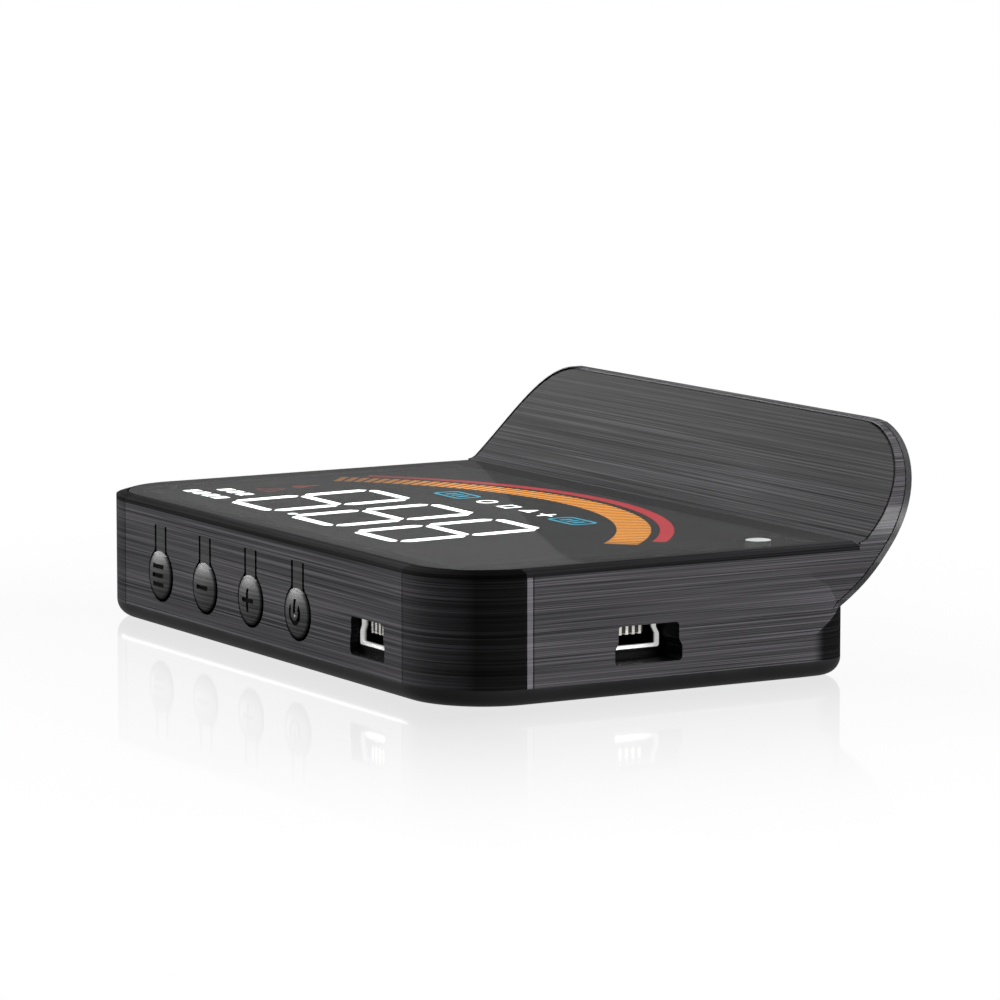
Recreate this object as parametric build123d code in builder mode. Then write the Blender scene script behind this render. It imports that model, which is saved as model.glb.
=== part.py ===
from build123d import *
from math import asin, atan2, degrees, radians, sqrt, tan
import os

# A flat head-up display unit that lies on a dashboard. Four keys are in its front face, a smoked
# window covers the display on top, and a curved light shade rises along the rear edge.
# Frame: origin at the centre of the case footprint, on the ground. +X points to the side with
# the large socket opening, -Y to the keys, +Y to the shade, +Z up. Millimetres.

# ---------------------------------------------------------------- driving dimensions
# Case
case_width = 90.0
case_depth = 53.8
deck_height = 15.5          # top of the rim and of the window
front_corner = 10.4         # plan radius of the front corners
rear_corner = 4.6           # plan radius of the rear corners
side_bend_y = 20.2          # behind this the sides lean in under the shade ...
side_lean = 0.4             # ... by this much at the rear
wall = 1.8
rim_width = 1.35            # sloped rim around the window ...
rim_drop = 0.4              # ... and how far it falls to the outside
rim_rounding = 0.9
half_width = case_width / 2
front_y = -case_depth / 2
rear_y = case_depth / 2

# Tray
tray_bottom = 0.15          # the grip pad holds the tray this far off the ground
band_height = 2.2           # parting line between the tray and the walls
band_rounding = 2.0
lip_width = 0.9
lip_height = 0.6
fit_gap = 0.1

# Shade: two arcs about lengthwise axes, seen from the side
rear_arc_y = 1.66
rear_arc_z = 36.77
rear_arc_radius = 37.1
face_arc_y = 8.36
face_arc_z = 37.27
face_arc_radius = 29.32
root_radius = 1.6           # hollow curve between the deck and the shade's face
shade_tip_z = 4.5           # where the shade's rear edge starts on the side of the case
shade_edge_z = 27.75        # where both arcs end, under the rounded top edge
shade_top = 28.1
shade_corner = 13.0         # radius of its top corners, seen from the front
deck_base = 13.7            # below this the rear corners are round, above it they are square
deck_rear_y = 29.5          # rear edge of the square deck, inside the shade

# Panels on the shade
facing_thickness = 0.5
facing_inset = 0.42         # from the shade's outline
facing_gap = 0.3
recess_relief = 0.6         # the recess for the panel starts this far in front of the face
cover_thickness = 0.7
cover_low_z = 10.0
seam_width = 0.14
seam_depth = 0.25
seam_low_z = 6.6
bead_width = 0.9
line_depth = 0.3
line_top = deck_height - rim_drop - 0.5

# Window
window_thickness = 0.8
window_gap = 0.15
ledge_inset = 3.2
sensor_x = 37.3
sensor_y = 18.4
sensor_diameter = 3.0
edge_softening = 0.1

# Keys: round heads on straps, cut from the front wall
key_pitch = 11.67
first_key_x = -25.0
key_z = 6.85
key_head = 5.85
key_opening = 6.55
strap_width = 2.24
slot_width = 0.45
strap_top_z = 12.85
neck_rounding = 0.8         # where a slot widens into the round hole
key_thickness = 1.2
key_proud = 0.1
key_dome = 0.4
key_post = 1.6              # round post behind the head, facing the switch
key_post_length = 0.75
hinge_gap = 0.04
symbol_depth = 0.24
symbol_line = 0.55
symbol_length = 2.8

# Side-pressed switches behind the keys
plunger_diameter = 2.2
plunger_gap = 0.06
plunger_reach = 1.0
plunger_seat = 1.0          # length inside the switch at rest
plunger_clearance = 0.05
switch_hole_depth = 1.6
switch_width = 4.6
switch_depth = 3.4
switch_height = 3.75

# Mini-USB sockets
shell_width = 7.3
shell_neck = 6.5            # width above the shoulders
shell_height = 3.45
shell_length = 9.2
shell_wall = 0.35
shoulder_low = 1.5          # height of the lower end of the shoulders above the shell's base
shoulder_rise = 0.75
tongue_width = 3.3
tongue_height = 1.35
tongue_length = 8.6
contact_count = 4
contact_pitch = 0.85
contact_width = 0.36
contact_height = 0.18
side_port_y = -1.08
front_port_x = 26.55
shell_z = 6.7               # middle of the shells
mouth_z = 6.05              # middle of the openings in the walls
mouth_height = 4.4
mouth_shoulder = 1.7
side_mouth_width = 8.85
side_mouth_neck = 8.0
front_mouth_width = 8.0
front_mouth_neck = 7.55
mouth_rounding = 0.45
shell_rounding = 0.3
shell_fit = 0.1             # air around a shell in its wall
collar_width = 11.4         # hollow block that carries the deep opening inwards
collar_height = 6.2
collar_wall = 0.6           # its end wall, around the shell
side_port_recess = 3.8
front_port_recess = 1.15

# Boards and display
board_thickness = 1.2
main_board_z = shell_z - shell_height / 2 - board_thickness
display_board_z = 9.5
board_inset = 2.4           # both boards, from the outside of the case
main_board_half = 40.4      # the main board stops short of the collar
boss_diameter = 4.8
boss_points = [(-39.1, -21.0), (39.1, -21.0), (-41.0, 22.9), (41.0, 22.9)]
boss_clearance = 3.0        # radius cut out of the boards around a boss
boss_top = 9.3
reflector_width = 76.0
reflector_front_y = -22.4
reflector_rear_y = 23.6
sensor_notch_width = 6.0    # corner left out of the reflector around the light sensor
sensor_notch_depth = 16.0
lit_thickness = 0.35
window_air = 0.05           # between the window and the lit areas
reflector_top = deck_height - window_thickness - window_air
main_board_top = main_board_z + board_thickness
display_board_top = display_board_z + board_thickness

# Digits: seven straight segments each
digit_centres = [-19.3, -3.85, 11.6]
digit_width = 10.1
digit_half_height = 9.75
digit_centre_y = -8.0
digit_lean = 3.0            # degrees
flat_thickness = 1.3
tall_thickness = 1.75
segment_gap = 0.4

# Gauge: short radial bars on an arc, with a plain red arc outside them
gauge_centre = (-2.2, -28.85)
gauge_inner = 44.7
gauge_outer = 48.7
gauge_half_angle = 45.8
gauge_bar_count = 57
gauge_bar_width = 0.95
redline_inner = 49.75
redline_outer = 51.4
redline_half_angle = 43.0

# Fasteners
screw_diameter = 2.0
screw_head = 3.8
drive_length = 2.4          # cross recess in the heads
drive_width = 0.5
housing_screw_length = 6.0
board_screw_length = 2.4
display_screw_length = 2.2  # beyond the board, into the housing
block_width = 4.6           # blocks on the side walls that take the display screws
block_depth = 5.0
block_shift = 0.4           # the blocks reach further out than their screws

board_screw_points = [(-30.0, -15.0), (6.0, 14.0), (-30.0, 17.0), (24.0, 14.0)]
display_screw_points = [(-40.6, -11.0), (40.6, -11.0), (-40.6, 12.0), (40.6, 12.0)]
key_centres = [first_key_x + key_pitch * step for step in range(4)]

# Board screws and small parts
head_height = 1.0
screw_sink = 1.2            # height of the shoulder under the housing screw heads
post_diameter = 3.6
sensor_chip_width = 2.0
sensor_chip_depth = 1.25
sensor_chip_height = 1.0
header_point = (-8.0, 19.0)
header_pitch = 2.54
header_pins_across = 6
header_pin = 0.64
pin_relief = 0.3            # the pins stop this far under the display board

# Parts on the boards
chip_height = 1.2
chip_chamfer = 0.2
driver_point = (10.0, -8.0)
driver_width = 8.0
driver_depth = 4.0
controller_point = (2.0, 0.0)
controller_width = 7.0
inductor_point = (20.0, -2.0)
inductor_width = 6.0
inductor_corner = 1.2
inductor_height = 3.0
capacitor_points = [(14.0, 8.0), (20.0, 8.0)]
capacitor_radius = 2.5
capacitor_height = 4.2
crystal_point = (-8.0, -4.0)
crystal_width = 5.0
crystal_depth = 3.2
crystal_corner = 0.6
crystal_height = 1.1
buzzer_point = (-20.0, 4.0)
buzzer_radius = 4.5
buzzer_height = 3.6
buzzer_hole_radius = 0.9
buzzer_hole_depth = 1.2

# Grip pad under the tray
pad_width = 66.0
pad_depth = 36.0
pad_corner = 4.0
pad_thickness = 1.0
pad_groove_pitch = 4.0
pad_groove_count = 8
pad_groove_width = 1.0
pad_groove_depth = 0.3

# Small signs in the display
decimal_point = (-10.2, -16.75)
decimal_radius = 0.6
icon_row_y = 8.7
icon_line = 0.45
teal_centres = (-15.2, 12.1)
teal_width = 6.6
teal_height = 3.6
icon_columns = (-7.9, -2.7, 1.9, 6.1)
unit_x = -31.4
unit_rows = ((-17.4, 4), (-13.4, 3))
unit_pitch = 2.45
warning_point = (-31.0, -8.8)
heat_sign_point = (-31.85, -4.2)

# ---------------------------------------------------------------- points worked out from them
# The hollow root curve touches the deck and the face arc from inside.
root_z = deck_height + root_radius
root_y = face_arc_y + sqrt((face_arc_radius - root_radius) ** 2 - (face_arc_z - root_z) ** 2)
root_turn = degrees(atan2(root_z - face_arc_z, root_y - face_arc_y))
rear_tip_turn = degrees(asin((shade_tip_z - rear_arc_z) / rear_arc_radius))
rear_top_turn = degrees(asin((shade_edge_z - rear_arc_z) / rear_arc_radius))
face_top_turn = degrees(asin((shade_edge_z - face_arc_z) / face_arc_radius))
rim_slope = degrees(atan2(rim_width, rim_drop))
window_rear_y = root_y - window_gap
window_base = deck_height - window_thickness
cover_inner_radius = rear_arc_radius - cover_thickness
hinge_y = front_y + key_thickness
digit_lean_slope = tan(radians(digit_lean))
side_mouth_x = half_width - side_port_recess
front_mouth_y = front_y + front_port_recess


# ---------------------------------------------------------------- shared outlines
def footprint(inset, height):
    """Case outline pulled in by inset, lying at the given height."""
    side = half_width - inset
    with BuildSketch(Plane.XY.offset(height)) as outline:
        with BuildLine():
            Polyline(
                (-side, front_y + inset),
                (side, front_y + inset),
                (side, side_bend_y),
                (side - side_lean, rear_y - inset),
                (side_lean - side, rear_y - inset),
                (-side, side_bend_y),
                close=True,
            )
        make_face()
        fillet(outline.vertices().group_by(Axis.Y)[0], front_corner - inset)
        fillet(outline.vertices().group_by(Axis.Y)[-1], max(rear_corner - inset, 0.5))
    return outline.sketch


def deck_outline(inset, rear_edge, height):
    """Deck outline: round front corners, straight sides and a straight rear edge."""
    front_edge = front_y + inset
    with BuildSketch(Plane.XY.offset(height)) as outline:
        with Locations((0, (front_edge + rear_edge) / 2)):
            Rectangle(case_width - 2 * inset, rear_edge - front_edge)
        fillet(outline.vertices().group_by(Axis.Y)[0], front_corner - inset)
    return outline.sketch


def shade_outline(inset):
    """Front view of the case and shade pulled in by inset, with large round top corners."""
    with BuildSketch(Plane.XZ) as outline:
        with Locations((0, shade_top / 2)):
            Rectangle(case_width - 2 * inset, shade_top - 2 * inset)
        fillet(outline.vertices().group_by(Axis.Z)[-1], shade_corner - inset)
    return outline.sketch


def face_band(near_depth, far_depth, inset):
    """Layer between two depths under the shade's face, within the outline pulled in by inset."""
    with BuildPart() as band:
        with BuildSketch(Plane.YZ):
            with BuildLine():
                ends = []
                for depth in (near_depth, far_depth):
                    root = CenterArc((root_y, root_z), root_radius + depth, -90, root_turn + 90)
                    face = CenterArc(
                        (face_arc_y, face_arc_z),
                        face_arc_radius + depth,
                        root_turn,
                        face_top_turn - root_turn + 6,
                    )
                    ends.append((root @ 0, face @ 1))
                Line(ends[0][0], ends[1][0])
                Line(ends[0][1], ends[1][1])
            make_face()
        extrude(amount=half_width, both=True)
        extrude(shade_outline(inset), amount=case_depth, both=True, mode=Mode.INTERSECT)
    return band.part


def rear_band(near_radius, far_radius, low_z, inset):
    """Layer of the shade's back between two radii, above low_z, full width less the inset."""
    with BuildPart() as band:
        with BuildSketch(Plane.YZ):
            with Locations((rear_arc_y, rear_arc_z)):
                Circle(far_radius)
                Circle(near_radius, mode=Mode.SUBTRACT)
            with Locations((case_depth, (low_z + shade_edge_z) / 2)):
                Rectangle(2 * (case_depth - rear_arc_y), shade_edge_z - low_z, mode=Mode.INTERSECT)
        extrude(amount=half_width + 1, both=True)
        extrude(shade_outline(inset), amount=2 * case_depth, both=True, mode=Mode.INTERSECT)
    return band.part


def socket_outline(plane, neck, width, height, shoulder, rounding):
    """Mini-USB outline: wide below, stepped in above a pair of sloping shoulders."""
    low = -height / 2
    with BuildSketch(plane) as outline:
        with BuildLine():
            Polyline(
                (0, low),
                (width / 2, low),
                (width / 2, low + shoulder),
                (neck / 2, low + shoulder + shoulder_rise),
                (neck / 2, -low),
                (0, -low),
            )
            mirror(about=Plane.YZ)
        make_face()
        fillet(outline.vertices(), rounding)
    return outline.sketch


def side_plane(height):
    """Plane of the side socket's mouth, facing out, with its origin at the given height."""
    return Plane(origin=(side_mouth_x, side_port_y, height), x_dir=(0, 1, 0), z_dir=(1, 0, 0))


def front_plane(height):
    """Plane of the front socket's mouth, facing out, with its origin at the given height."""
    return Plane(origin=(front_port_x, front_mouth_y, height), x_dir=(1, 0, 0), z_dir=(0, -1, 0))


def mouth_outline(plane, neck, width):
    """Outline of an opening in the wall in front of a socket."""
    return socket_outline(plane, neck, width, mouth_height, mouth_shoulder, mouth_rounding)


def shell_outline(plane, inset):
    """Outline of a socket's shell pulled in by inset."""
    neck = shell_neck - 2 * inset
    width = shell_width - 2 * inset
    height = shell_height - 2 * inset
    rounding = shell_rounding - min(inset, 0.6 * shell_rounding)
    return socket_outline(plane, neck, width, height, shoulder_low - inset, rounding)


def finish(piece, name):
    """Label a piece and write it as its own STEP file."""
    piece.part.label = name
    export_step(piece.part, f"parts/{name}.step")


os.makedirs("parts", exist_ok=True)

# ---------------------------------------------------------------- case
with BuildPart() as shade_block:
    with BuildSketch(Plane.YZ):
        with BuildLine():
            back = CenterArc(
                (rear_arc_y, rear_arc_z), rear_arc_radius, rear_tip_turn, rear_top_turn - rear_tip_turn
            )
            root = CenterArc((root_y, root_z), root_radius, -90, root_turn + 90)
            face = CenterArc(
                (face_arc_y, face_arc_z), face_arc_radius, root_turn, face_top_turn - root_turn
            )
            top_middle = ((back @ 1 + face @ 1) / 2).X
            ThreePointArc(back @ 1, (top_middle, shade_top), face @ 1)
            tip = back @ 0
            Polyline(root @ 0, ((root @ 0).X, deck_base), (tip.X, deck_base), tip)
        make_face()
    extrude(amount=half_width, both=True)
    extrude(shade_outline(0), amount=2 * case_depth, both=True, mode=Mode.INTERSECT)

with BuildPart() as main_housing:
    # Outer body: walls, square deck with its sloped rim, then the shade
    extrude(footprint(0, band_height), amount=deck_base - band_height)
    extrude(deck_outline(0, deck_rear_y, deck_base), amount=deck_height - rim_drop - deck_base)
    rim_foot = deck_outline(0, deck_rear_y, deck_height - rim_drop)
    extrude(rim_foot, amount=rim_drop, taper=rim_slope)
    foot_edges = main_housing.edges().group_by(Axis.Z)[-2]
    fillet(foot_edges.sort_by(Axis.Y)[:-1], rim_rounding)
    add(shade_block.part)
    # Inside: cavity, display opening and the recess for the window
    extrude(footprint(wall, band_height), amount=deck_base - band_height, mode=Mode.SUBTRACT)
    display_opening = deck_outline(ledge_inset, rear_y - ledge_inset, deck_base)
    extrude(display_opening, amount=window_base - deck_base, mode=Mode.SUBTRACT)
    window_recess = deck_outline(rim_width, root_y, window_base)
    extrude(window_recess, amount=window_thickness, mode=Mode.SUBTRACT)
    # Screw bosses at the corners, open below for the screws
    with BuildSketch(Plane.XY.offset(band_height)):
        with Locations(*boss_points):
            Circle(boss_diameter / 2)
    extrude(amount=boss_top - band_height)
    with BuildSketch(Plane.XY.offset(band_height)):
        with Locations(*boss_points):
            Circle(screw_diameter / 2)
    extrude(amount=housing_screw_length + 0.4, mode=Mode.SUBTRACT)
    # Blocks on the side walls that carry the display board
    with BuildSketch(Plane.XY.offset(display_board_top)):
        for x, y in display_screw_points:
            with Locations((x + (block_shift if x > 0 else -block_shift), y)):
                Rectangle(block_width, block_depth)
    extrude(amount=deck_base - display_board_top)
    with BuildSketch(Plane.XY.offset(display_board_top)):
        with Locations(*display_screw_points):
            Circle(screw_diameter / 2)
    extrude(amount=display_screw_length, mode=Mode.SUBTRACT)
    # Collar behind the deep side opening
    collar_end = side_mouth_x - collar_wall
    with BuildSketch(Plane.YZ.offset(collar_end)):
        with Locations((side_port_y, mouth_z)):
            Rectangle(collar_width, collar_height)
    extrude(amount=half_width - wall / 2 - collar_end)
    # Socket openings down to the mouths of the shells, then holes the shells pass through
    side_opening = mouth_outline(side_plane(mouth_z), side_mouth_neck, side_mouth_width)
    extrude(side_opening, amount=side_port_recess + 1, mode=Mode.SUBTRACT)
    extrude(shell_outline(side_plane(shell_z), -shell_fit), amount=-collar_wall, mode=Mode.SUBTRACT)
    front_opening = mouth_outline(front_plane(mouth_z), front_mouth_neck, front_mouth_width)
    extrude(front_opening, amount=front_port_recess + 1, mode=Mode.SUBTRACT)
    extrude(shell_outline(front_plane(shell_z), -shell_fit), amount=-wall, mode=Mode.SUBTRACT)
    # Key openings: a round hole with the strap slots running up from it
    for x in key_centres:
        with BuildSketch(Plane.XZ.offset(-front_y)) as key_cut:
            with Locations((x, key_z)):
                Circle(key_opening / 2)
            with Locations((x, (key_z + strap_top_z) / 2)):
                Rectangle(strap_width + 2 * slot_width, strap_top_z - key_z)
            slot_side = strap_width / 2 + slot_width
            neck = [
                corner
                for corner in key_cut.vertices()
                if corner.Y < strap_top_z - 1 and abs(abs(corner.X - x) - slot_side) < 0.05
            ]
            fillet(neck, neck_rounding)
        extrude(amount=-(wall + 0.5), mode=Mode.SUBTRACT)
    # Recess for the facing and for the back cover, and the cover's fine side seam
    recess_inset = facing_inset - facing_gap
    add(face_band(-recess_relief, facing_thickness, recess_inset), mode=Mode.SUBTRACT)
    beyond = rear_arc_radius + 2
    add(rear_band(cover_inner_radius, beyond, cover_low_z, -1), mode=Mode.SUBTRACT)

# Fine seam where the shade's side meets its rear edge
with BuildPart() as seam:
    add(rear_band(cover_inner_radius - seam_width, cover_inner_radius, seam_low_z, -0.5))
    extrude(shade_outline(seam_depth), amount=2 * case_depth, both=True, mode=Mode.SUBTRACT)

# Fine upright lines: one where each front corner starts, and a pair that makes a bead on each side
with BuildPart() as corner_lines:
    with BuildSketch(Plane.XY.offset(band_height)):
        for side in (-1, 1):
            with Locations((side * half_width, front_y + front_corner)):
                with GridLocations(0, bead_width, 1, 2):
                    Rectangle(line_depth, seam_width)
            with Locations((side * (half_width - front_corner), front_y)):
                Rectangle(seam_width, line_depth)
    extrude(amount=line_top - band_height)

with BuildPart() as lined_housing:
    add(main_housing.part)
    add(seam.part, mode=Mode.SUBTRACT)
    add(corner_lines.part, mode=Mode.SUBTRACT)
finish(lined_housing, "main_housing")

with BuildPart() as hood_facing:
    add(face_band(0, facing_thickness, facing_inset))
finish(hood_facing, "hood_facing")

with BuildPart() as hood_back_cover:
    add(rear_band(cover_inner_radius, rear_arc_radius, cover_low_z, 0))
finish(hood_back_cover, "hood_back_cover")

with BuildPart() as base_tray:
    extrude(footprint(0, tray_bottom), amount=band_height - tray_bottom)
    fillet(base_tray.faces().sort_by(Axis.Z)[0].edges(), band_rounding)
    # Lip that centres the tray in the walls, open where the screw bosses stand
    lip_inset = wall + fit_gap
    extrude(footprint(lip_inset, band_height), amount=lip_height)
    extrude(footprint(lip_inset + lip_width, band_height), amount=lip_height, mode=Mode.SUBTRACT)
    with BuildSketch(Plane.XY.offset(band_height)):
        with Locations(*boss_points):
            Circle(boss_diameter / 2 + fit_gap)
    extrude(amount=lip_height, mode=Mode.SUBTRACT)
    # Posts under the main board
    with BuildSketch(Plane.XY.offset(band_height)):
        with Locations(*board_screw_points):
            Circle(post_diameter / 2)
    extrude(amount=main_board_z - band_height)
    with BuildSketch(Plane.XY.offset(main_board_z)):
        with Locations(*board_screw_points):
            Circle(screw_diameter / 2)
    extrude(amount=-(board_screw_length - board_thickness + fit_gap), mode=Mode.SUBTRACT)
    # Sunk holes for the housing screws
    with BuildSketch(Plane.XY.offset(tray_bottom)):
        with Locations(*boss_points):
            Circle(screw_head / 2 + fit_gap)
    extrude(amount=screw_sink - tray_bottom, mode=Mode.SUBTRACT)
    with BuildSketch(Plane.XY.offset(tray_bottom)):
        with Locations(*boss_points):
            Circle(screw_diameter / 2 + fit_gap)
    extrude(amount=band_height, mode=Mode.SUBTRACT)
    # Shallow pocket for the grip pad
    with BuildSketch(Plane.XY.offset(tray_bottom)):
        RectangleRounded(pad_width + 2 * fit_gap, pad_depth + 2 * fit_gap, pad_corner)
    extrude(amount=pad_thickness - tray_bottom, mode=Mode.SUBTRACT)
finish(base_tray, "base_tray")

with BuildPart() as grip_pad:
    with BuildSketch(Plane.XY):
        RectangleRounded(pad_width, pad_depth, pad_corner)
    extrude(amount=pad_thickness)
    with BuildSketch(Plane.XY):
        with GridLocations(0, pad_groove_pitch, 1, pad_groove_count):
            SlotOverall(pad_width - 2 * pad_corner, pad_groove_width)
    extrude(amount=pad_groove_depth, mode=Mode.SUBTRACT)
finish(grip_pad, "grip_pad")

# ---------------------------------------------------------------- window and sensor
with BuildPart() as top_window:
    pane = deck_outline(rim_width + window_gap, window_rear_y, window_base)
    extrude(pane, amount=window_thickness)
    with BuildSketch(Plane.XY.offset(window_base)):
        with Locations((sensor_x, sensor_y)):
            Circle(sensor_diameter / 2)
    extrude(amount=window_thickness, mode=Mode.SUBTRACT)
    fillet(top_window.faces().sort_by(Axis.Z)[-1].edges(), edge_softening)
finish(top_window, "top_window")

with BuildPart() as sensor_diffuser:
    with BuildSketch(Plane.XY.offset(display_board_top + sensor_chip_height)):
        with Locations((sensor_x, sensor_y)):
            Circle(sensor_diameter / 2)
    extrude(amount=deck_height - display_board_top - sensor_chip_height)
    fillet(sensor_diffuser.edges().sort_by(Axis.Z)[-1], edge_softening)
finish(sensor_diffuser, "sensor_diffuser")

with BuildPart() as light_sensor:
    with BuildSketch(Plane.XY.offset(display_board_top)):
        with Locations((sensor_x, sensor_y)):
            Rectangle(sensor_chip_width, sensor_chip_depth)
    extrude(amount=sensor_chip_height)
finish(light_sensor, "light_sensor")


# ---------------------------------------------------------------- display
def segment(length, thickness):
    """One display segment: a straight bar with pointed ends, centred, along X."""
    half = thickness / 2
    with BuildSketch() as bar:
        with BuildLine():
            Polyline(
                (-length / 2, 0),
                (-length / 2 + half, half),
                (length / 2 - half, half),
                (length / 2, 0),
                (length / 2 - half, -half),
                (-length / 2 + half, -half),
                (-length / 2, 0),
            )
        make_face()
    return bar.sketch


def digit_point(centre_x, across, row):
    """A point in a leaning digit: across in digit widths, row in half heights from its middle."""
    rise = row * digit_half_height
    return (centre_x + across * digit_width - rise * digit_lean_slope, digit_centre_y + rise)


flat_segment = segment(digit_width - 2 * segment_gap, flat_thickness)
tall_segment = segment(digit_half_height - 2 * segment_gap, tall_thickness)

with BuildSketch() as digits:
    for x in digit_centres:
        with Locations(*[digit_point(x, 0, row) for row in (-1, 0, 1)]):
            add(flat_segment)
        ends = [digit_point(x, across, row) for across in (-0.5, 0.5) for row in (-0.5, 0.5)]
        with Locations(*ends):
            add(tall_segment, rotation=90 + digit_lean)
    with Locations(decimal_point):
        Circle(decimal_radius)

with BuildSketch() as gauge:
    with Locations(gauge_centre):
        with PolarLocations(
            (gauge_inner + gauge_outer) / 2,
            gauge_bar_count,
            90 - gauge_half_angle,
            2 * gauge_half_angle,
            endpoint=True,
        ):
            Rectangle(gauge_outer - gauge_inner, gauge_bar_width)

with BuildSketch() as redline:
    with BuildLine():
        arcs = [
            CenterArc(gauge_centre, radius, 90 - redline_half_angle, 2 * redline_half_angle)
            for radius in (redline_inner, redline_outer)
        ]
        Line(arcs[0] @ 0, arcs[1] @ 0)
        Line(arcs[0] @ 1, arcs[1] @ 1)
    make_face()

with BuildSketch() as teal_marks:
    for x in teal_centres:
        with Locations((x, icon_row_y)):
            RectangleRounded(teal_width, teal_height, 0.9)
            inner_width = teal_width - 2 * icon_line
            inner_height = teal_height - 2 * icon_line
            RectangleRounded(inner_width, inner_height, 0.6, mode=Mode.SUBTRACT)
            with GridLocations(inner_width / 4, 0, 3, 1):
                Rectangle(inner_width / 8, inner_height * 0.6)

with BuildSketch() as white_marks:
    # A ring, a frame, a triangle and a cross between the two framed signs
    ring_x, frame_x, triangle_x, cross_x = icon_columns
    with Locations((ring_x, icon_row_y)):
        Circle(1.35)
        Circle(1.35 - icon_line, mode=Mode.SUBTRACT)
    with Locations((frame_x, icon_row_y)):
        Rectangle(2.4, 2.4)
        Rectangle(2.4 - 2 * icon_line, 2.4 - 2 * icon_line, mode=Mode.SUBTRACT)
    with Locations((triangle_x, icon_row_y)):
        RegularPolygon(1.5, 3, rotation=90)
    with Locations((cross_x, icon_row_y)):
        Rectangle(2.6, icon_line)
        Rectangle(icon_line, 2.6)
    # Two rows of plain blocks where the units of speed are shown
    for row_y, count in unit_rows:
        with Locations((unit_x, row_y)):
            with GridLocations(unit_pitch, 0, count, 1):
                Rectangle(1.6, 2.0)
                Rectangle(0.6, 0.8, mode=Mode.SUBTRACT)

with BuildSketch() as red_marks:
    # A hollow warning triangle and a thermometer
    with Locations(warning_point):
        RegularPolygon(2.3, 3, rotation=90)
        RegularPolygon(1.6, 3, rotation=90, mode=Mode.SUBTRACT)
        Rectangle(0.4, 1.1)
    with Locations(heat_sign_point):
        Circle(1.0)
        with Locations((0, 1.4)):
            RectangleRounded(0.9, 2.6, 0.4)

lit_areas = {
    "digit_segments": digits.sketch,
    "gauge_bars": gauge.sketch,
    "gauge_redline": redline.sketch,
    "teal_icons": teal_marks.sketch,
    "white_icons": white_marks.sketch,
    "red_icons": red_marks.sketch,
}

with BuildPart() as display_reflector:
    with BuildSketch(Plane.XY.offset(display_board_top)):
        with Locations((0, (reflector_front_y + reflector_rear_y) / 2)):
            Rectangle(reflector_width, reflector_rear_y - reflector_front_y)
        # Corner left free for the light sensor
        with Locations((reflector_width / 2, reflector_rear_y)):
            Rectangle(sensor_notch_width, sensor_notch_depth, mode=Mode.SUBTRACT)
    extrude(amount=reflector_top - display_board_top)
    for area in lit_areas.values():
        with BuildSketch(Plane.XY.offset(reflector_top)):
            add(area)
        extrude(amount=-lit_thickness, mode=Mode.SUBTRACT)
finish(display_reflector, "display_reflector")

for name, area in lit_areas.items():
    with BuildPart() as lit:
        with BuildSketch(Plane.XY.offset(reflector_top)):
            add(area)
        extrude(amount=-lit_thickness)
    finish(lit, name)

# ---------------------------------------------------------------- boards
with BuildPart() as display_board:
    extrude(footprint(board_inset, display_board_z), amount=board_thickness)
    with BuildSketch(Plane.XY.offset(display_board_z)):
        with Locations(*display_screw_points):
            Circle(screw_diameter / 2)
    extrude(amount=board_thickness, mode=Mode.SUBTRACT)
finish(display_board, "display_board")

with BuildPart() as main_board:
    extrude(footprint(board_inset, main_board_z), amount=board_thickness)
    with BuildSketch(Plane.XY.offset(main_board_z)):
        Rectangle(2 * main_board_half, case_depth)
    extrude(amount=board_thickness, mode=Mode.INTERSECT)
    with BuildSketch(Plane.XY.offset(main_board_z)):
        with Locations(*boss_points):
            Circle(boss_clearance)
        with Locations(*board_screw_points):
            Circle(screw_diameter / 2)
    extrude(amount=board_thickness, mode=Mode.SUBTRACT)
finish(main_board, "main_board")

with BuildPart() as board_header:
    with BuildSketch(Plane.XY.offset(main_board_top)):
        with Locations(header_point):
            Rectangle(header_pins_across * header_pitch, header_pitch)
    extrude(amount=header_pitch)
    with BuildSketch(Plane.XY.offset(main_board_top)):
        with Locations(header_point):
            with GridLocations(header_pitch, 0, header_pins_across, 1):
                Rectangle(header_pin, header_pin)
    extrude(amount=header_pitch, mode=Mode.SUBTRACT)
finish(board_header, "board_header")

with BuildPart() as board_socket:
    with BuildSketch(Plane.XY.offset(display_board_z)):
        with Locations(header_point):
            Rectangle(header_pins_across * header_pitch, header_pitch)
            with GridLocations(header_pitch, 0, header_pins_across, 1):
                Rectangle(header_pin, header_pin, mode=Mode.SUBTRACT)
    extrude(amount=-(display_board_z - main_board_top - header_pitch))
finish(board_socket, "board_socket")

with BuildPart() as header_pins:
    with BuildSketch(Plane.XY.offset(main_board_top)):
        with Locations(header_point):
            with GridLocations(header_pitch, 0, header_pins_across, 1):
                Rectangle(header_pin, header_pin)
    extrude(amount=display_board_z - main_board_top - pin_relief)
finish(header_pins, "header_pins")

with BuildPart() as display_driver:
    with BuildSketch(Plane.XY.offset(display_board_z)):
        with Locations(driver_point):
            Rectangle(driver_width, driver_depth)
    extrude(amount=-chip_height)
    chamfer(display_driver.faces().sort_by(Axis.Z)[0].edges(), chip_chamfer)
finish(display_driver, "display_driver")

with BuildPart() as controller_chip:
    with BuildSketch(Plane.XY.offset(main_board_top)):
        with Locations(controller_point):
            Rectangle(controller_width, controller_width)
    extrude(amount=chip_height)
    chamfer(controller_chip.faces().sort_by(Axis.Z)[-1].edges(), chip_chamfer)
finish(controller_chip, "controller_chip")

with BuildPart() as power_inductor:
    with BuildSketch(Plane.XY.offset(main_board_top)):
        with Locations(inductor_point):
            RectangleRounded(inductor_width, inductor_width, inductor_corner)
    extrude(amount=inductor_height)
finish(power_inductor, "power_inductor")

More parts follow.
